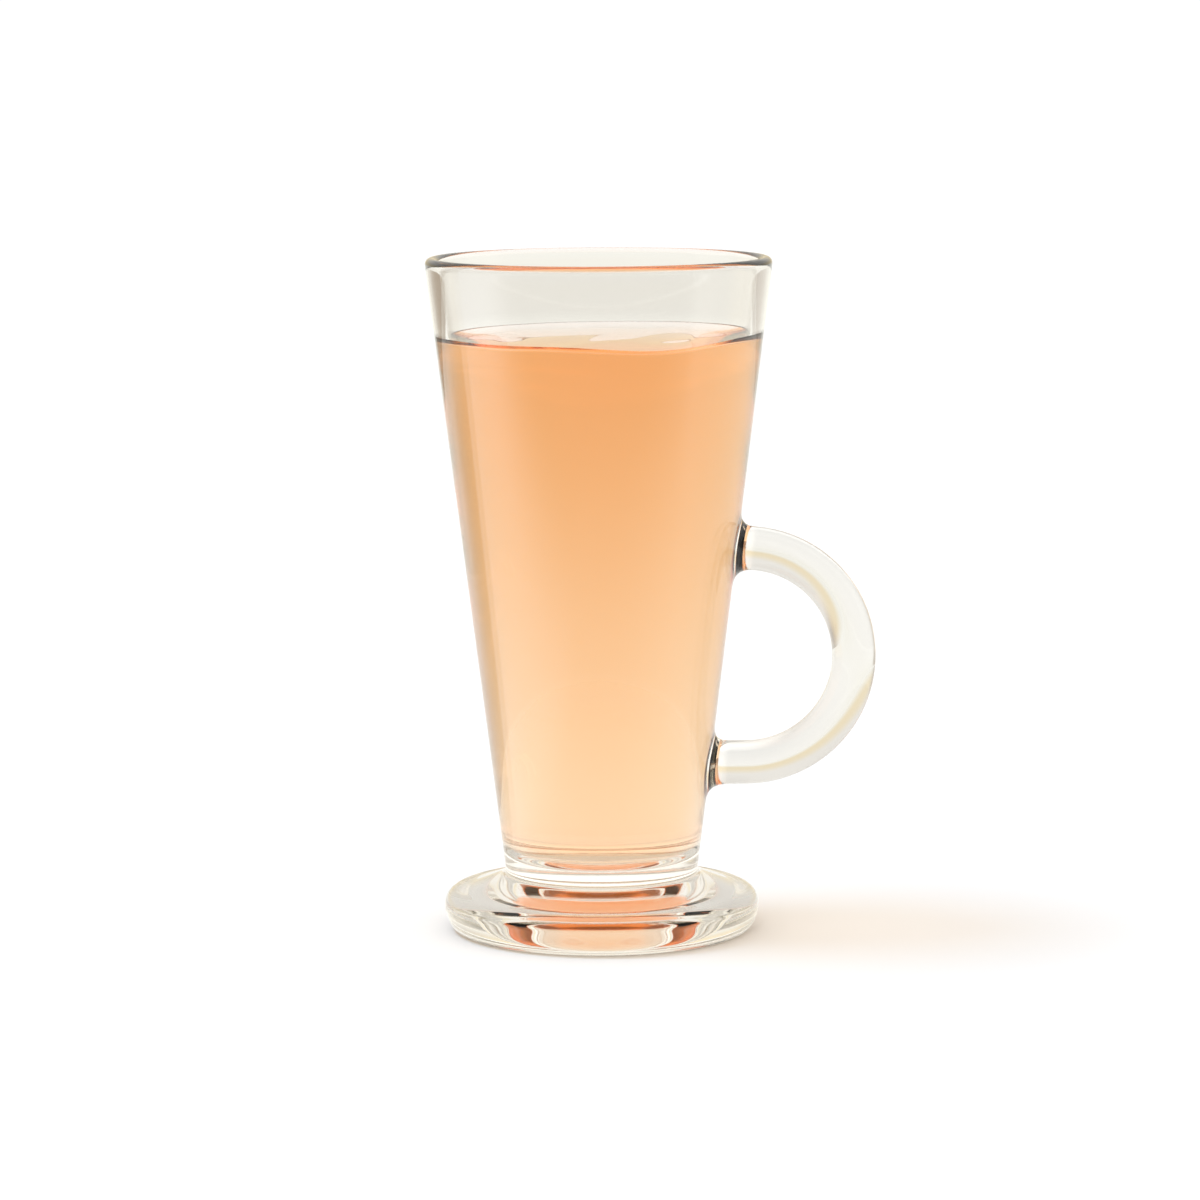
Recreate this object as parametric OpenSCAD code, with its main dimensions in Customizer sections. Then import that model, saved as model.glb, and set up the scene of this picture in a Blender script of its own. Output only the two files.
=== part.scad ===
// Footed glass with a loop handle, filled with clear tea.
// Lengths are in millimetres. The origin lies on the axis of the glass, on the surface
// that it stands on, +Z is up and the handle points along +X.

/* [Glass body] */
// Height of the glass, from the table to the rim
height = 149; // [120:1:185]
// Outer diameter of the body at the rim, before the rim is rounded
rim_d = 76.4; // [62:0.2:94]
// Outer diameter of the body at the neck, where the foot begins
neck_d = 42.4; // [34:0.2:52]
// Thickness of the side wall
wall = 2.9; // [2.2:0.1:3.8]
// Height of the inside floor above the table
floor_z = 15.6; // [12:0.1:26]
// Radius of the inside corner round the floor
floor_round = 9; // [3:0.5:12]
// How much the middle of the inside floor stands above its edge
floor_dome = 0.8; // [0.2:0.1:2]

/* [Foot] */
// Diameter of the foot at its widest
foot_d = 69.8; // [58:0.2:84]
// Height of the widest place of the foot
foot_edge = 5.9; // [4:0.1:7.2]
// How far the foot draws in below its widest place
foot_tuck = 3.3; // [1:0.1:4]
// Radius of the rounding above the widest place
foot_round = 3.1; // [1.5:0.1:4]
// Slope of the foot's upper side near its edge, in degrees
edge_slope = 5; // [2:1:12]
// Slope of the foot's upper side near the neck, in degrees
foot_slope = 21; // [18:1:26]
// Where the two slopes meet, as a share of the way from the neck to the edge
slope_meet = 0.62; // [0.5:0.02:0.7]
// Radius of the bend between the two slopes
slope_round = 7.5; // [2:0.5:9]
// Radius of the fillet between the foot and the body
neck_fillet = 1.8; // [0.8:0.1:3]
// Width of the flat ring that the glass stands on
ring_w = 12; // [5:0.5:15]
// Depth of the hollow inside the standing ring
hollow = 5; // [0.6:0.1:6]

/* [Handle] */
// Thickness of the round bar of the handle
bar_d = 9.7; // [7.6:0.1:12]
// Radius of the loop, to the middle of the bar
loop_r = 23.9; // [18:0.1:30]
// Height of the middle of the loop
loop_z = 60.8; // [52:0.1:78]
// How far the middle of the loop stands out from the wall
loop_out = 4.9; // [2:0.1:9]
// Size of the flares where the bar meets the wall
flare = 3.6; // [2:0.1:5]

/* [Tea] */
// Distance from the rim down to the tea
headspace = 18; // [8:0.5:50]

/* [Hidden] */

glass_colour = [0.88, 0.87, 0.83];
tea_colour = [0.97, 0.68, 0.42];

lathe_facets = 128;
bar_facets = 64;
arc_steps = 10;
flare_sides = 40;
flare_steps = 8;
// The flares start this much outside the bar, so that each crosses it cleanly
flare_lip = 0.06;
// The share of the wall's thickness that the flares reach into
flare_bite = 0.35;
// The share of the wall's thickness that each side of the rim's rounding takes
rim_share = 0.47;
// How far the glass is cut open above its rim
over = 5;

// The upper side of the foot leaves its rounding here, bends once and climbs to the neck
slope_r = foot_d / 2 - foot_round * (1 - sin(edge_slope));
slope_z = foot_edge + foot_round * cos(edge_slope);
meet_r = neck_d / 2 + slope_meet * (foot_d - neck_d) / 2;
meet_z = slope_z + (slope_r - meet_r) * tan(edge_slope);
neck_z = meet_z + (meet_r - neck_d / 2) * tan(foot_slope);
// The widening of the body's radius for each millimetre of height
taper = (rim_d - neck_d) / 2 / (height - neck_z);
rim_round = rim_share * wall;
tea_z = height - headspace;
contact_r = foot_d / 2 - foot_tuck;
hollow_r = contact_r - ring_w;
loop_x = outer_r(loop_z) + loop_out;

function outer_r(z) = neck_d / 2 + taper * (z - neck_z);
function inner_r(z) = outer_r(z) - wall;
function unit(v) = v / norm(v);
function turned(v, a) = [v.x * cos(a) - v.y * sin(a), v.x * sin(a) + v.y * cos(a)];
function flat(p) = [p[0], p[1]];

// The points that round the corner b, on the way from a to c, by the radius r
function corner(a, b, c, r) =
    let (
        u = unit(a - b),
        v = unit(c - b),
        half = acos(u * v) / 2,
        centre = b + unit(u + v) * r / sin(half),
        first = b + u * r / tan(half) - centre,
        turn = -sign(cross(u, v)) * (180 - 2 * half)
    )
    [for (i = [0 : arc_steps]) centre + turned(first, turn * i / arc_steps)];

// An outline from rows of [radius, height, rounding]
function rounded(rows) = [
    for (i = [0 : len(rows) - 1])
        let (
            a = flat(rows[(i + len(rows) - 1) % len(rows)]),
            b = flat(rows[i]),
            c = flat(rows[(i + 1) % len(rows)])
        )
        each (rows[i][2] > 0 ? corner(a, b, c, rows[i][2]) : [b])
];

// The foot's edge below its widest place, a quarter of an ellipse
function tuck_arc() = [
    for (i = [0 : arc_steps])
        let (t = 90 * i / arc_steps)
        [contact_r + foot_tuck * sin(t), foot_edge * (1 - cos(t))]
];

// The foot's edge above its widest place
function crest_arc() = [
    for (i = [1 : arc_steps])
        let (t = (90 - edge_slope) * i / arc_steps)
        [foot_d / 2 - foot_round * (1 - cos(t)), foot_edge + foot_round * sin(t)]
];

// The hollow under the foot, an arc from the axis to the standing ring
function hollow_arc() = [
    for (i = [0 : arc_steps])
        let (t = 90 * i / arc_steps)
        [hollow_r * sin(t), hollow * cos(t)]
];

// The body's outline above the foot's edge: the foot's upper side, the neck's fillet and
// the outside of the rim
function body_rows() = [
    [slope_r, slope_z, 0],
    [meet_r, meet_z, slope_round],
    [neck_d / 2, neck_z, neck_fillet],
    [outer_r(height), height, rim_round],
    [0, height, 0]
];

// The inside floor, a shallow dome that ends in the corner round it
function floor_rows() =
    let (start_r = inner_r(floor_z) - floor_round)
    concat(
        [for (i = [0 : arc_steps])
            let (s = i / arc_steps)
            [start_r * s, floor_z + floor_dome * (1 + cos(180 * s)) / 2, 0]],
        [[inner_r(floor_z), floor_z, floor_round]]
    );

module outside() {
    side = rounded(body_rows());
    rotate_extrude($fn = lathe_facets)
        polygon(concat(
            hollow_arc(),
            tuck_arc(),
            crest_arc(),
            [for (i = [1 : len(side) - 1]) side[i]]
        ));
}

// The inside of the glass, with the inner half of the rim's rounding
module inside() {
    rim_tangent = inner_r(height) + rim_round * tan(45 - atan(taper) / 2);
    rotate_extrude($fn = lathe_facets)
        polygon(rounded(concat(floor_rows(), [
            [inner_r(height), height, 0],
            [rim_tangent, height, 0],
            [rim_tangent, height + over, 0],
            [0, height + over, 0]
        ])));
}

// A flare from the bar to the wall: each line round the bar bends from the bar's side
// into the wall's face. bar_z is the height of the bar's axis, which runs along X.
module flare_loft(bar_z) {
    a = bar_d / 2 + flare_lip;
    b = bar_d / 2 + flare;
    sink = flare_bite * wall;
    function wall_point(r, t) =
        let (y = r * cos(t), z = bar_z + r * sin(t))
        [sqrt(outer_r(z) ^ 2 - y ^ 2), y, z];
    function line(t) =
        let (
            root = wall_point(a, t),
            start = root + [flare, 0, 0],
            foot = wall_point(b, t) - [sink, 0, 0],
            bend = root - [sink / 2, 0, 0]
        )
        [for (i = [0 : flare_steps])
            let (s = i / flare_steps)
            (1 - s) ^ 2 * start + 2 * s * (1 - s) * bend + s ^ 2 * foot];
    lines = [for (k = [0 : flare_sides - 1]) line(360 * k / flare_sides)];
    points = [for (l = lines) each l];
    row = flare_steps + 1;
    last = len(points);
    bar_end = [wall_point(0, 0).x + flare, 0, bar_z];
    wall_end = [wall_point(0, 0).x - sink * 1.5, 0, bar_z];
    polyhedron(
        points = concat(points, [bar_end, wall_end]),
        faces = [
            for (k = [0 : flare_sides - 1])
                let (p = k * row, q = ((k + 1) % flare_sides) * row)
                each concat(
                    [[last, q, p], [last + 1, p + flare_steps, q + flare_steps]],
                    [for (i = [0 : flare_steps - 1])
                        each [[p + i, q + i, q + i + 1], [p + i, q + i + 1, p + i + 1]]]
                )
        ]
    );
}

// The loop: half a ring, then a straight end at the top and at the bottom, each ending
// inside its flare
module handle() {
    translate([loop_x, 0, loop_z])
        rotate([90, 0, 0])
            rotate([0, 0, -90])
                rotate_extrude(angle = 180, $fn = lathe_facets)
                    translate([loop_r, 0]) circle(d = bar_d, $fn = bar_facets);
    for (side = [-1, 1]) {
        bar_z = loop_z + side * loop_r;
        bar_from = outer_r(bar_z) + flare / 2;
        if (bar_from < loop_x)
            translate([bar_from, 0, bar_z])
                rotate([0, 90, 0])
                    cylinder(d = bar_d, h = loop_x - bar_from, $fn = bar_facets);
        flare_loft(bar_z);
    }
}

module cup() {
    color(glass_colour)
        union() {
            difference() {
                outside();
                inside();
            }
            handle();
        }
}

// The tea fills the inside of the glass up to its level
module tea() {
    color(tea_colour)
        rotate_extrude($fn = lathe_facets)
            polygon(rounded(concat(floor_rows(), [
                [inner_r(tea_z), tea_z, 0],
                [0, tea_z, 0]
            ])));
}

cup();
tea();
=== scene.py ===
"""A footed glass with a loop handle, filled with clear tea, on a white table."""

import math

import bpy
import bmesh
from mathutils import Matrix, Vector


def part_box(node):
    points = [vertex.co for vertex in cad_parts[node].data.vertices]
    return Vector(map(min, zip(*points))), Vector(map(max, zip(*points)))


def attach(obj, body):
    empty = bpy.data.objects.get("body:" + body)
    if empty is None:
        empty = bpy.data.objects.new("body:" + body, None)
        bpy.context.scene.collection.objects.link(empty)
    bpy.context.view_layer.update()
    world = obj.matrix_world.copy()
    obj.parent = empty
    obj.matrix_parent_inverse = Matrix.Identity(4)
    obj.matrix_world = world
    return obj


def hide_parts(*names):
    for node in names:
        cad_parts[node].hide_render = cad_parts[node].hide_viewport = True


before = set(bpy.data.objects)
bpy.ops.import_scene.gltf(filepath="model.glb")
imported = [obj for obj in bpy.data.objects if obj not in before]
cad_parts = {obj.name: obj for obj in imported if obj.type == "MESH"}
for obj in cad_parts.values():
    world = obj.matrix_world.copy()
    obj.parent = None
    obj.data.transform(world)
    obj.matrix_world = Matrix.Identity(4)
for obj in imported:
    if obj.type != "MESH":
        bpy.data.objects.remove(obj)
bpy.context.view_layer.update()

MM = 0.001
cup_low, cup_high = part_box("cup")
tea_low, tea_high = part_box("tea")

# ---------------------------------------------------------------- sizes of the glass
HEIGHT = cup_high.z
RIM_R = 38.2 * MM  # outer radius at the rim, before the rim is rounded
NECK_R = 21.2 * MM  # outer radius at the neck
WALL = 2.9 * MM
RIM_ROUND = 0.49 * WALL  # radius of each side of the rim
INSIDE_FLOOR = tea_low.z
INSIDE_CORNER = 9 * MM
INSIDE_DOME = 0.8 * MM  # how much the middle of the inside floor stands above its edge
FOOT_R = 34.9 * MM
FOOT_EDGE = 5.9 * MM  # height of the widest place of the foot
FOOT_TUCK = 3.3 * MM
FOOT_ROUND = 3.1 * MM
EDGE_SLOPE = math.radians(5)  # of the foot's upper side, near its edge
FOOT_SLOPE = math.radians(21)  # and near the neck
SLOPE_MEET = NECK_R + 0.62 * (FOOT_R - NECK_R)  # radius where the two meet
SLOPE_ROUND = 7.5 * MM
NECK_FILLET = 1.8 * MM
RING_W = 12 * MM  # of the flat ring that the glass stands on
HOLLOW = 5 * MM  # depth of the hollow under the foot

# ---------------------------------------------------------------- sizes of the handle
BAR_R = 4.85 * MM
LOOP_R = 23.9 * MM
LOOP_Z = 60.8 * MM
LOOP_X = cup_high.x - BAR_R - LOOP_R
FLARE = 3.6 * MM

# ---------------------------------------------------------------- sizes of the tea
TEA_REACH = 0.12 * MM  # how far the tea reaches into the glass round it
CONTACT_Z = tea_high.z + 1.3 * MM  # where the tea meets the wall, on average
WAVE_DEEP = 16 * MM  # how far down the wave is felt at the wall
WAVE_LIFT = 0.4 * MM
WAVE_TILT = 0.35 * MM  # how much higher it stands by the handle
# The dips of the wave: where it is and how wide, in degrees from the handle, and its depth
WAVE_DIPS = ((-68, 30, 1.9 * MM), (-125, 25, 0.5 * MM))
MENISCUS = 1.5 * MM
MENISCUS_FADE = 1.7 * MM
SWELL = 0.10 * MM  # heights of the two crossing swells
SWELL_SLANT = 0.06 * MM
SWELL_FREE = 6 * MM  # this near the wall they die away

# ---------------------------------------------------------------- light of the room
ROOM_FRONT = (0.36, 0.32, 0.27)
ROOM_LEFT = (0.38, 0.33, 0.27)
ROOM_RIGHT = (0.62, 0.57, 0.50)
ROOM_BACK = (1.00, 0.87, 0.62)
ROOM_LOW = (1.09, 1.08, 1.00)  # behind the glass, below eye level
ROOM_LOW_LEFT = (0.50, 0.42, 0.33)
ROOM_LOW_RIGHT = (0.80, 0.75, 0.67)
ROOM_TOP = (0.98, 0.95, 0.89)
ROOM_FRONT_TOP = (0.30, 0.28, 0.25)
BACKDROP = 1.05  # what the camera sees behind it all
TABLE_LIGHT = (1.25, 1.17, 1.09)  # what falls on the table from all round
SUN = 1.15  # of the soft lamp at the left that throws the shadow
SUN_COLOUR = (0.41, 0.69, 1.0)
SUN_TOWARDS = (0.46, -0.02, -0.89)
SUN_SOFT = math.radians(22)

# ---------------------------------------------------------------- the table, in metres
TABLE_R = 0.90
TABLE_FADE = (0.55, 0.85)  # how far out it fades into the room
TABLE_SEEN = (0.80, 0.80, 0.80)  # its colour to the camera
# Its colours to the glass, with painted light and shade: near and far (painted shade further out),
# at the back left (painted shade), at the left (painted light), and in front (painted shade)
TABLE_NEAR = (0.84, 0.82, 0.77)
TABLE_MID = (0.80, 0.78, 0.70)
TABLE_BACK_SHADE = (0.40, 0.34, 0.27)
TABLE_LEFT_LIGHT = (1.00, 1.00, 1.00)
TABLE_FRONT_SHADE = (0.42, 0.40, 0.36)
# Painted glow standing in for the light that reaches it through the glass: below the tea, below the
# foot, and round the foot. Each has the distances between which it ends.
TEA_GLOW = (0.76, 0.30, 0.12)
TEA_GLOW_END = (0.019, 0.024)
FOOT_GLOW = (0.38, 0.38, 0.37)
FOOT_GLOW_END = (0.045, 0.080)
NEAR_GLOW = (0.14, 0.10, 0.05)
NEAR_GLOW_END = (0.036, 0.110)

# ---------------------------------------------------------------- glass and tea as materials
GLASS_IOR = 1.52
GLASS_TINT = (4, (0.85, 0.75, 0.45))  # density and colour of its thickness
TEA_IOR = 1.333
TEA_TINT = (26, (0.988, 0.56, 0.03))
ABOVE_TEA_GREY = (0.905, 0.897, 0.893)  # the glass a little greyer above the tea
ABOVE_TEA_Z = (CONTACT_Z - 1 * MM, CONTACT_Z + 3 * MM)
BAR_SHADE = (0.86, 0.86, 0.86)  # painted shade on the handle
BAR_SHADE_Z = (14 * MM, 20 * MM)  # it begins above the foot
BAR_SHADE_OUT = (2.5 * MM, 4.5 * MM)  # and this far outside the wall
GLASS_RIPPLE = 60  # how many uneven places there are in a metre
TEA_RIPPLE = 45
RIPPLE_HEIGHT = 0.02 * MM

# ---------------------------------------------------------------- camera
LENS = 137.14
CAMERA_PLACE = (0.00062, -1.0, 0.20687)
CAMERA_DOWN = math.radians(7.6075)
CAMERA_ROLL = math.radians(0.3)

# ---------------------------------------------------------------- how finely pieces are cut
COLUMNS = 128  # round the glass
HOLE_HALF = 8  # columns each side of the handle that its root takes
SIDES = 8 * HOLE_HALF  # round the handle's bar
LOOP_STEPS = 40
STRAIGHT_STEPS = 4  # along the straight end of the bar
FLARE_STEPS = 7
ARC_STEPS = 8  # the hollow under the foot, and the foot's edge below its widest place
CREST_STEPS = 7  # and above it
UPPER_ROWS = 16  # up the wall, from the handle to the rim
INSIDE_ROWS = 20  # down the inside of the wall
FLOOR_ROWS = 8
TEA_ROWS = 36  # up the side of the tea
TOP_FINE = 0.25 * MM  # between the rows of the tea's top near the wall, where it curves up
TOP_FINE_ROWS = 10
TOP_COARSE = 1.15 * MM  # and between those further in
TOP_COARSE_ROWS = 26
TOP_LEAST = 0.6 * MM  # the smallest row, round the middle
SAME_PLACE = 0.001 * MM  # points nearer than this are merged

SLOPE_R = FOOT_R - FOOT_ROUND * (1 - math.sin(EDGE_SLOPE))
SLOPE_Z = FOOT_EDGE + FOOT_ROUND * math.cos(EDGE_SLOPE)
MEET_Z = SLOPE_Z + (SLOPE_R - SLOPE_MEET) * math.tan(EDGE_SLOPE)
NECK_Z = MEET_Z + (SLOPE_MEET - NECK_R) * math.tan(FOOT_SLOPE)
TAPER = (RIM_R - NECK_R) / (HEIGHT - NECK_Z)
ROOT_HALF = HOLE_HALF * 1.2 * MM  # half the height of the place that a root takes


def outer_r(z):
    return NECK_R + TAPER * (z - NECK_Z)


def inner_r(z):
    return outer_r(z) - WALL


# ---------------------------------------------------------------- outlines
def spread(a, b, n):
    """n points after a, evenly on the way to b, with b as the last."""
    return [a.lerp(b, (i + 1) / n) for i in range(n)]


def rounded(a, b, c, r, n):
    """The corner b between a and c, rounded by the radius r, as n + 1 points."""
    u, v = (a - b).normalized(), (c - b).normalized()
    half = u.angle(v) / 2
    centre = b + (u + v).normalized() * r / math.sin(half)
    first = b + u * r / math.tan(half) - centre
    last = b + v * r / math.tan(half) - centre
    return [centre + first.slerp(last, i / n) * r for i in range(n + 1)]


def glass_outline():
    """The glass from the axis under the foot, up the outside and down the inside."""
    flat_r = FOOT_R - FOOT_TUCK
    hollow_r = flat_r - RING_W
    quarter = [math.pi / 2 * i / ARC_STEPS for i in range(ARC_STEPS + 1)]
    line = [Vector((hollow_r * math.sin(t), HOLLOW * math.cos(t))) for t in quarter]
    line += spread(line[-1], Vector((flat_r, 0)), 4)
    line += [
        Vector((flat_r + FOOT_TUCK * math.sin(t), FOOT_EDGE * (1 - math.cos(t))))
        for t in quarter[1:]
    ]
    crest = [(math.pi / 2 - EDGE_SLOPE) * i / CREST_STEPS for i in range(1, CREST_STEPS + 1)]
    line += [
        Vector((FOOT_R - FOOT_ROUND * (1 - math.cos(t)), FOOT_EDGE + FOOT_ROUND * math.sin(t)))
        for t in crest
    ]
    meet, neck_at = Vector((SLOPE_MEET, MEET_Z)), Vector((NECK_R, NECK_Z))
    bend = rounded(line[-1], meet, neck_at, SLOPE_ROUND, 5)
    line += spread(line[-1], bend[0], 2) + bend[1:]
    neck = rounded(meet, neck_at, Vector((RIM_R, HEIGHT)), NECK_FILLET, 6)
    line += spread(line[-1], neck[0], 5) + neck[1:]
    # Rows at each root of the handle are as far apart as its columns are
    for root in (LOOP_Z - LOOP_R, LOOP_Z + LOOP_R):
        low, high = root - ROOT_HALF, root + ROOT_HALF
        gap = low - line[-1].y
        line += spread(line[-1], Vector((outer_r(low), low)), max(2, round(gap / (3 * MM))))
        line += spread(line[-1], Vector((outer_r(high), high)), 2 * HOLE_HALF)
    top_out, top_in = Vector((RIM_R, HEIGHT)), Vector((RIM_R - WALL, HEIGHT))
    rim = rounded(line[-1], top_out, top_in, RIM_ROUND, 7)
    line += spread(line[-1], rim[0], UPPER_ROWS) + rim[1:]
    floor = Vector((inner_r(INSIDE_FLOOR), INSIDE_FLOOR))
    line += rounded(top_out, top_in, floor, RIM_ROUND, 7)
    corner = rounded(top_in, floor, Vector((0, INSIDE_FLOOR)), INSIDE_CORNER, 10)
    line += spread(line[-1], corner[0], INSIDE_ROWS) + corner[1:]
    line += inside_dome(corner[-1].x, INSIDE_FLOOR)
    return line


def inside_dome(start_r, floor_z):
    """The inside floor from a radius to the axis, rising a little towards its middle."""
    shares = [(i + 1) / FLOOR_ROWS for i in range(FLOOR_ROWS)]
    rise = [INSIDE_DOME * (1 - math.cos(math.pi * s)) / 2 for s in shares]
    return [Vector((start_r * (1 - s), floor_z + up)) for s, up in zip(shares, rise)]


def contact_shift(angle):
    """How much higher than its average the tea meets the wall, in the slow wave that runs round."""
    shift = WAVE_LIFT + WAVE_TILT * math.cos(angle)
    for at, wide, deep in WAVE_DIPS:
        shift -= deep * math.exp(-(((math.degrees(angle) - at) / wide) ** 2))
    return shift


def surface_z(r, angle):
    """The height of the tea's surface: a level with a slight swell, rising at the wall."""
    wall_r = inner_r(CONTACT_Z)
    rise = MENISCUS * math.exp(-max(0.0, wall_r - r) / MENISCUS_FADE)
    x, y = r * math.cos(angle) / MM, r * math.sin(angle) / MM
    swell = SWELL * math.sin(0.21 * x + 0.9) * math.cos(0.16 * y + 0.4)
    swell += SWELL_SLANT * math.sin(0.34 * x - 0.19 * y)
    free = min(1.0, (wall_r - r) / SWELL_FREE) if r < wall_r else 0.0
    return CONTACT_Z - MENISCUS + rise + swell * free


# ---------------------------------------------------------------- making and joining pieces
def deselect():
    bpy.ops.object.select_all(action="DESELECT")


def edit(piece):
    deselect()
    piece.select_set(True)
    bpy.context.view_layer.objects.active = piece
    bpy.ops.object.mode_set(mode="EDIT")
    bpy.ops.mesh.select_all(action="DESELECT")


def leave():
    bpy.ops.object.mode_set(mode="OBJECT")


def pick(piece, kind, test):
    """Selects the vertices, edges or faces of a piece in edit mode that pass the test."""
    mesh = bmesh.from_edit_mesh(piece.data)
    mesh.select_mode = {kind}
    for item in {"VERT": mesh.verts, "EDGE": mesh.edges, "FACE": mesh.faces}[kind]:
        item.select_set(test(item))
    mesh.select_flush_mode()
    bmesh.update_edit_mesh(piece.data)


def turned_line(name, line):
    """A closed piece made by spinning an outline of (radius, height) points round Z."""
    deselect()
    bpy.ops.mesh.primitive_plane_add(size=1 * MM, location=(line[0].x, 0, line[0].y))
    piece = bpy.context.object
    piece.name = piece.data.name = name
    bpy.ops.object.transform_apply()
    bpy.ops.object.mode_set(mode="EDIT")
    bpy.ops.mesh.merge(type="CENTER")
    for a, b in zip(line, line[1:]):
        step = (b.x - a.x, 0, b.y - a.y)
        bpy.ops.mesh.extrude_region_move(TRANSFORM_OT_translate={"value": step})
    bpy.ops.mesh.select_all(action="SELECT")
    bpy.ops.mesh.spin(steps=COLUMNS, angle=2 * math.pi, center=(0, 0, 0), axis=(0, 0, 1))
    bpy.ops.mesh.select_all(action="SELECT")
    bpy.ops.mesh.remove_doubles(threshold=SAME_PLACE)
    bpy.ops.mesh.normals_make_consistent(inside=False)
    leave()
    return piece


def smooth(piece):
    deselect()
    piece.select_set(True)
    bpy.context.view_layer.objects.active = piece
    finer = piece.modifiers.new("finer", "SUBSURF")
    finer.levels = finer.render_levels = 1
    bpy.ops.object.modifier_apply(modifier=finer.name)
    bpy.ops.object.shade_smooth()


# ---------------------------------------------------------------- the glass
def cut_root(body, root_z):
    """Opens the outer wall where one root of the handle goes."""
    half = math.radians(360 / COLUMNS) * HOLE_HALF
    edit(body)

    def in_root(face):
        c = face.calc_center_median()
        outside = math.hypot(c.x, c.y) > outer_r(c.z) - WALL / 2
        return outside and abs(math.atan2(c.y, c.x)) < half and abs(c.z - root_z) < ROOT_HALF

    pick(body, "FACE", in_root)
    bpy.ops.mesh.delete(type="FACE")
    leave()


def wall_point(y, z):
    return Vector((math.sqrt(outer_r(z) ** 2 - y**2), y, z))


def flare_rows(ring, root_z, along):
    """The rows of points from a ring of the bar down to the wall, each a smooth bend."""
    rows = [[] for _ in range(FLARE_STEPS)]
    for start in ring:
        side = Vector((0, start.y, start.z - root_z)).normalized()
        reach = BAR_R + FLARE
        foot = wall_point(side.y * reach, root_z + side.z * reach)
        near = wall_point(start.y, start.z)
        bend = start + along * ((start.x - near.x) / -along.x)
        for i, row in enumerate(rows):
            s = (i + 1) / FLARE_STEPS
            row.append((1 - s) ** 2 * start + 2 * s * (1 - s) * bend + s * s * foot)
    return rows


def extrude_rows(piece, rows):
    """Extrudes the selected ring once for each row, and sets its points in place."""
    for row in rows:
        bpy.ops.mesh.extrude_region_move(TRANSFORM_OT_translate={"value": (0, 0, 0)})
        mesh = bmesh.from_edit_mesh(piece.data)
        ring = [v for v in mesh.verts if v.select]
        for v, place in zip(sorted(ring, key=ring_order), row):
            v.co = place
        bmesh.update_edit_mesh(piece.data)


def ring_order(v):
    """Where a point of a ring lies, counted round the bar's axis."""
    root_z = LOOP_Z + math.copysign(LOOP_R, v.co.z - LOOP_Z)
    return math.atan2(v.co.z - root_z, v.co.y)


def make_handle():
    """Half a ring of round bar, with a straight end and a flare down to the wall at each root."""
    top_z, low_z = LOOP_Z + LOOP_R, LOOP_Z - LOOP_R
    low_start = outer_r(low_z) + FLARE
    top_start = outer_r(top_z) + FLARE
    lean = math.asin(max(0.0, top_start - LOOP_X) / LOOP_R)
    deselect()
    bpy.ops.mesh.primitive_circle_add(
        vertices=SIDES, radius=BAR_R, location=(LOOP_X, 0, low_z), rotation=(0, math.pi / 2, 0)
    )
    piece = bpy.context.object
    piece.name = piece.data.name = "handle"
    bpy.ops.object.transform_apply()
    bpy.ops.object.mode_set(mode="EDIT")
    bpy.ops.mesh.select_all(action="SELECT")
    bpy.ops.mesh.spin(
        steps=LOOP_STEPS, angle=math.pi - lean, center=(LOOP_X, 0, LOOP_Z), axis=(0, 1, 0)
    )
    ends = (
        (low_z, Vector((-1, 0, 0)), LOOP_X),
        (top_z, Vector((-math.cos(lean), 0, math.sin(lean))), LOOP_X + LOOP_R * math.sin(lean)),
    )
    for root_z, along, end_x in ends:

        def on_end(v):
            return abs(v.co.z - root_z) < 1.2 * BAR_R and v.co.x < end_x + 0.4 * MM

        pick(piece, "VERT", on_end)
        if root_z == low_z:
            step = (low_start - LOOP_X) / STRAIGHT_STEPS
            for _ in range(STRAIGHT_STEPS):
                bpy.ops.mesh.extrude_region_move(TRANSFORM_OT_translate={"value": (step, 0, 0)})
        mesh = bmesh.from_edit_mesh(piece.data)
        ring = sorted((v for v in mesh.verts if v.select), key=ring_order)
        rows = flare_rows([v.co.copy() for v in ring], root_z, along)
        extrude_rows(piece, rows)
    leave()
    return piece


def join_root(body, root_z):
    """Bridges the hole in the wall to the foot of the flare, and lays the bridge on the wall."""
    edit(body)

    def round_root(edge):
        c = (edge.verts[0].co + edge.verts[1].co) / 2
        return edge.is_boundary and abs(c.z - root_z) < 1.1 * ROOT_HALF

    pick(body, "EDGE", round_root)
    bpy.ops.mesh.bridge_edge_loops(number_cuts=2, interpolation="LINEAR")
    mesh = bmesh.from_edit_mesh(body.data)
    for v in mesh.verts:
        x, y, z = v.co
        past_flare = math.hypot(y, z - root_z) > BAR_R + FLARE - 0.01 * MM
        by_root = x > 0 and abs(y) < 1.3 * ROOT_HALF and abs(z - root_z) < 1.1 * ROOT_HALF
        if past_flare and by_root and abs(math.hypot(x, y) - outer_r(z)) < 0.8 * MM:
            v.co = wall_point(y, z)
    bmesh.update_edit_mesh(body.data)
    leave()


def make_cup():
    body = turned_line("glass", glass_outline())
    roots = (LOOP_Z - LOOP_R, LOOP_Z + LOOP_R)
    for root_z in roots:
        cut_root(body, root_z)
    handle = make_handle()
    deselect()
    handle.select_set(True)
    body.select_set(True)
    bpy.context.view_layer.objects.active = body
    bpy.ops.object.join()
    for root_z in roots:
        join_root(body, root_z)
    edit(body)
    bpy.ops.mesh.select_all(action="SELECT")
    bpy.ops.mesh.normals_make_consistent(inside=False)
    leave()
    smooth(body)
    return body


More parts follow.
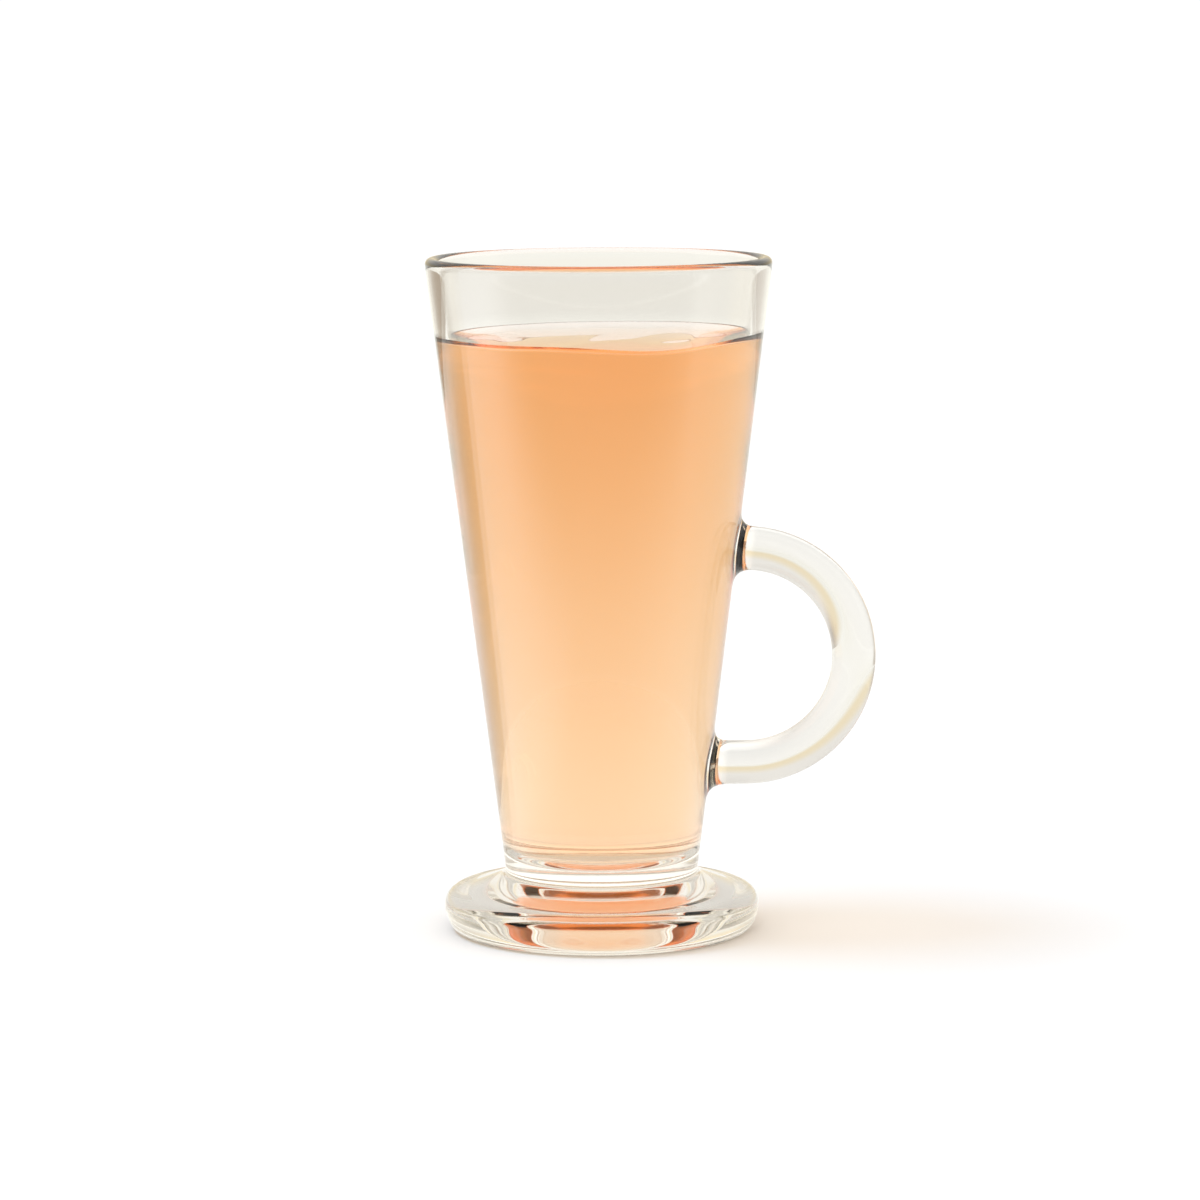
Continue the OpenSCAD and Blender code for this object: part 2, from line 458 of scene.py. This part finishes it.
# ---------------------------------------------------------------- the tea
def make_tea():
    """The drink, its sides reaching just into the glass and its top curved up at the wall."""
    wall_r = inner_r(CONTACT_Z)
    floor = Vector((inner_r(INSIDE_FLOOR) + TEA_REACH, INSIDE_FLOOR - TEA_REACH))
    axis_low = Vector((0, floor.y))
    edge = Vector((wall_r + TEA_REACH, CONTACT_Z))
    corner = rounded(axis_low, floor, edge, INSIDE_CORNER + TEA_REACH, 12)
    dome = inside_dome(corner[0].x, floor.y)
    line = dome[::-1] + corner
    line += spread(line[-1], edge, TEA_ROWS)
    top_rows = [wall_r - TOP_FINE * i for i in range(TOP_FINE_ROWS)]
    inner_start = wall_r - TOP_FINE * TOP_FINE_ROWS
    top_rows += [inner_start - TOP_COARSE * i for i in range(TOP_COARSE_ROWS)]
    top_rows = [r for r in top_rows if r > TOP_LEAST] + [0.0]
    line += [Vector((r, surface_z(r, 0))) for r in top_rows]
    piece = turned_line("tea_drink", line)
    edit(piece)
    mesh = bmesh.from_edit_mesh(piece.data)
    for v in mesh.verts:
        r, angle = math.hypot(v.co.x, v.co.y), math.atan2(v.co.y, v.co.x)
        shift = contact_shift(angle)
        if v.co.z > CONTACT_Z - 1.6 * MENISCUS and r < wall_r + 0.5 * TEA_REACH:
            v.co.z = surface_z(r, angle) + shift * (r / wall_r) ** 3
            felt = r / wall_r
        else:
            felt = max(0.0, 1 - (CONTACT_Z - v.co.z) / WAVE_DEEP)
            v.co.z += shift * felt
        if r > 0:
            v.co.xy *= (r + shift * felt * TAPER) / r
    bmesh.update_edit_mesh(piece.data)
    leave()
    smooth(piece)
    return piece


# ---------------------------------------------------------------- finishes
def clear_material(name, ior, tint_of_thickness):
    """A clear, smooth material with the tint of its thickness, and its shader."""
    density, colour = tint_of_thickness
    material = bpy.data.materials.new(name)
    material.use_nodes = True
    nodes, links = material.node_tree.nodes, material.node_tree.links
    shader = nodes["Principled BSDF"]
    shader.inputs["Base Color"].default_value = (1, 1, 1, 1)
    shader.inputs["Transmission Weight"].default_value = 1
    shader.inputs["IOR"].default_value = ior
    shader.inputs["Roughness"].default_value = 0
    tint = nodes.new("ShaderNodeVolumeAbsorption")
    tint.inputs["Color"].default_value = (*colour, 1)
    tint.inputs["Density"].default_value = density
    links.new(tint.outputs["Volume"], nodes["Material Output"].inputs["Volume"])
    return material, shader


def ripple(material, shader, scale):
    """A faint unevenness of the surface, as pressed glass and a moving drink have."""
    nodes, links = material.node_tree.nodes, material.node_tree.links
    place = nodes.new("ShaderNodeTexCoord")
    noise = nodes.new("ShaderNodeTexNoise")
    noise.inputs["Scale"].default_value = scale
    noise.inputs["Detail"].default_value = 1
    bump = nodes.new("ShaderNodeBump")
    bump.inputs["Strength"].default_value = 1
    bump.inputs["Distance"].default_value = RIPPLE_HEIGHT
    links.new(place.outputs["Object"], noise.inputs["Vector"])
    links.new(noise.outputs["Fac"], bump.inputs["Height"])
    links.new(bump.outputs["Normal"], shader.inputs["Normal"])


def glass_finish():
    """Pressed glass, a little greyer above the warm tea, and with painted shade along the handle.

    The handle is what lies outside the wall, so that its painted shade goes by the distance from
    the axis, less the widening of the wall with height."""
    material, shader = clear_material("clear_glass", GLASS_IOR, GLASS_TINT)
    nodes, links = material.node_tree.nodes, material.node_tree.links
    place = nodes.new("ShaderNodeTexCoord")
    split = nodes.new("ShaderNodeSeparateXYZ")
    links.new(place.outputs["Object"], split.inputs["Vector"])
    height = split.outputs["Z"]
    # The glass a little greyer above the tea
    above_tea = blend(material, height, *ABOVE_TEA_Z, (1, 1, 1), ABOVE_TEA_GREY)
    flat = nodes.new("ShaderNodeCombineXYZ")
    length = nodes.new("ShaderNodeVectorMath")
    length.operation = "LENGTH"
    wall = nodes.new("ShaderNodeMath")
    wall.operation = "MULTIPLY_ADD"
    wall.inputs[1].default_value = -TAPER
    links.new(split.outputs["X"], flat.inputs["X"])
    links.new(split.outputs["Y"], flat.inputs["Y"])
    links.new(flat.outputs["Vector"], length.inputs[0])
    links.new(height, wall.inputs[0])
    links.new(length.outputs["Value"], wall.inputs[2])
    # Painted shade on the handle
    bar = blend(material, height, *BAR_SHADE_Z, (1, 1, 1), BAR_SHADE)
    start, end = (outer_r(0) + out for out in BAR_SHADE_OUT)
    colour = blend(material, wall.outputs["Value"], start, end, above_tea, bar)
    links.new(colour, shader.inputs["Base Color"])
    ripple(material, shader, GLASS_RIPPLE)
    return material


def tea_finish():
    """Clear tea, coloured by its thickness alone, with a faint unevenness of its surface."""
    material, shader = clear_material("pale_tea", TEA_IOR, TEA_TINT)
    ripple(material, shader, TEA_RIPPLE)
    return material


def blend(owner, value, low, high, under, over):
    """Goes from the colour or socket under to over as value goes from low to high."""
    nodes, links = owner.node_tree.nodes, owner.node_tree.links
    ramp = nodes.new("ShaderNodeMapRange")
    ramp.interpolation_type = "SMOOTHSTEP"
    ramp.inputs["From Min"].default_value = low
    ramp.inputs["From Max"].default_value = high
    mix = nodes.new("ShaderNodeMix")
    mix.data_type = "RGBA"
    links.new(value, ramp.inputs["Value"])
    links.new(ramp.outputs["Result"], mix.inputs[0])
    for socket, colour in ((mix.inputs[6], under), (mix.inputs[7], over)):
        if isinstance(colour, tuple):
            socket.default_value = (*colour, 1)
        else:
            links.new(colour, socket)
    return mix.outputs[2]


def along(owner, place, direction):
    """How far a place lies along a direction."""
    nodes, links = owner.node_tree.nodes, owner.node_tree.links
    dot = nodes.new("ShaderNodeVectorMath")
    dot.operation = "DOT_PRODUCT"
    dot.inputs[1].default_value = direction
    links.new(place, dot.inputs[0])
    return dot.outputs["Value"]


def floor_finish():
    """A white table. What the glass shows of it has painted light and shade: painted shade further
    out, at the back left and in front, and a painted bright patch at the left. Close round the foot
    it has a painted glow for the light that comes through the glass. Places are in metres from the
    axis."""
    material = bpy.data.materials.new("white_table")
    material.use_nodes = True
    nodes, links = material.node_tree.nodes, material.node_tree.links
    shader = nodes["Principled BSDF"]
    shader.inputs["Roughness"].default_value = 1
    shader.inputs["Specular IOR Level"].default_value = 0
    place = nodes.new("ShaderNodeTexCoord").outputs["Object"]
    length = nodes.new("ShaderNodeVectorMath")
    length.operation = "LENGTH"
    links.new(place, length.inputs[0])
    away = length.outputs["Value"]
    # Painted light and shade, for the glass only: darker further out, at the back left and in
    # front, bright at the left
    level = blend(material, away, 0.2, 0.8, TABLE_NEAR, TABLE_MID)
    corner = along(material, place, (-0.707, -0.707, 0))
    back = blend(material, corner, -0.05, 0.08, level, TABLE_BACK_SHADE)
    depth = along(material, place, (0, 1, 0))
    front = blend(material, depth, -0.35, -0.05, TABLE_FRONT_SHADE, level)
    left = blend(material, depth, -0.30, -0.05, TABLE_FRONT_SHADE, TABLE_LEFT_LIGHT)
    side = blend(material, along(material, place, (1, 0, 0)), -0.12, -0.06, left, front)
    # The painted bright patch ends at a straight edge that runs off to the left and a little back
    edge = along(material, place, (0.375, 0.927, 0))
    through = blend(material, edge, -0.004, 0.004, side, back)
    through = blend(material, away, *TABLE_FADE, through, (0, 0, 0))
    path = nodes.new("ShaderNodeLightPath")
    colour = blend(material, path.outputs["Is Camera Ray"], 0, 1, through, TABLE_SEEN)
    links.new(colour, shader.inputs["Base Color"])
    under = blend(material, away, *TEA_GLOW_END, TEA_GLOW, FOOT_GLOW)
    under = blend(material, away, *FOOT_GLOW_END, under, (0, 0, 0))
    near = blend(material, away, *NEAR_GLOW_END, NEAR_GLOW, (0, 0, 0))
    # Far out the table has a painted glow of the room's own light, so that its rim doesn't show
    under = blend(material, away, *TABLE_FADE, under, ROOM_LOW)
    glow = blend(material, path.outputs["Is Camera Ray"], 0, 1, under, near)
    links.new(glow, shader.inputs["Emission Color"])
    shader.inputs["Emission Strength"].default_value = 1
    return material


# ---------------------------------------------------------------- stage
def make_floor():
    deselect()
    bpy.ops.mesh.primitive_circle_add(vertices=96, radius=TABLE_R, fill_type="NGON")
    table = bpy.context.object
    table.name = "table_top"
    table.data.materials.append(floor_finish())


def make_world():
    """White all round for the camera. For the glass it is bright behind, dim in front and bright
    above. Its own light falls on the table. X, Y and Z are those of a direction of length 1."""
    world = bpy.data.worlds.new("studio")
    world.use_nodes = True
    world.cycles.sampling_method = "NONE"
    bpy.context.scene.world = world
    nodes, links = world.node_tree.nodes, world.node_tree.links
    nodes.clear()

    place = nodes.new("ShaderNodeTexCoord")
    split = nodes.new("ShaderNodeSeparateXYZ")
    links.new(place.outputs["Generated"], split.inputs["Vector"])
    sides = blend(world, split.outputs["X"], -0.4, 0.4, ROOM_LEFT, ROOM_RIGHT)
    front = blend(world, split.outputs["Y"], -0.7, -0.1, ROOM_FRONT, sides)
    low_right = blend(world, split.outputs["X"], 0.28, 0.42, ROOM_LOW, ROOM_LOW_RIGHT)
    low = blend(world, split.outputs["X"], -0.40, -0.24, ROOM_LOW_LEFT, low_right)
    # The sides are dim only well below eye level; above that the low part is the same all round
    deep = blend(world, split.outputs["Z"], -0.10, -0.07, low, ROOM_LOW)
    behind = blend(world, split.outputs["Z"], -0.08, 0.02, deep, ROOM_BACK)
    # The bright part behind reaches further round on the left than on the right
    facing = along(world, place.outputs["Generated"], (-0.15, 0.99, 0))
    level = blend(world, facing, 0.45, 0.85, front, behind)
    above = blend(world, split.outputs["Y"], -0.35, 0.0, ROOM_FRONT_TOP, ROOM_TOP)
    whole = blend(world, split.outputs["Z"], 0.04, 0.28, level, above)
    path = nodes.new("ShaderNodeLightPath")
    lit = blend(world, path.outputs["Is Diffuse Ray"], 0, 1, whole, TABLE_LIGHT)
    room = nodes.new("ShaderNodeBackground")
    links.new(lit, room.inputs["Color"])
    seen = nodes.new("ShaderNodeBackground")
    seen.inputs["Color"].default_value = (1, 1, 1, 1)
    seen.inputs["Strength"].default_value = BACKDROP
    choose = nodes.new("ShaderNodeMixShader")
    out = nodes.new("ShaderNodeOutputWorld")
    links.new(path.outputs["Is Camera Ray"], choose.inputs["Fac"])
    links.new(room.outputs["Background"], choose.inputs[1])
    links.new(seen.outputs["Background"], choose.inputs[2])
    links.new(choose.outputs["Shader"], out.inputs["Surface"])


def make_sun():
    """Soft light from the left, which throws the shadow but doesn't show in the glass."""
    light = bpy.data.lights.new("left_light", "SUN")
    light.energy = SUN
    light.color = SUN_COLOUR
    light.angle = SUN_SOFT
    lamp = bpy.data.objects.new("left_light", light)
    lamp.rotation_euler = Vector(SUN_TOWARDS).to_track_quat("-Z", "Y").to_euler()
    lamp.visible_transmission = False
    lamp.visible_glossy = False
    bpy.context.scene.collection.objects.link(lamp)


def make_camera():
    data = bpy.data.cameras.new("camera")
    data.lens = LENS
    data.sensor_width = 36
    data.clip_end = 50
    camera = bpy.data.objects.new("camera", data)
    camera.location = CAMERA_PLACE
    camera.rotation_euler = (math.pi / 2 - CAMERA_DOWN, CAMERA_ROLL, 0)
    bpy.context.scene.collection.objects.link(camera)
    bpy.context.scene.camera = camera


def set_look():
    scene = bpy.context.scene
    scene.view_settings.view_transform = "Standard"
    scene.cycles.max_bounces = 32
    scene.cycles.transmission_bounces = 32
    scene.cycles.glossy_bounces = 16
    scene.cycles.diffuse_bounces = 4
    scene.cycles.transparent_max_bounces = 16
    scene.cycles.sample_clamp_indirect = 6


# ---------------------------------------------------------------- putting it together
cup = make_cup()
cup.data.materials.append(glass_finish())
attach(cup, "root")
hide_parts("cup")

tea = make_tea()
tea.data.materials.append(tea_finish())
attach(tea, "root")
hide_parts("tea")

make_floor()
make_world()
make_sun()
make_camera()
set_look()
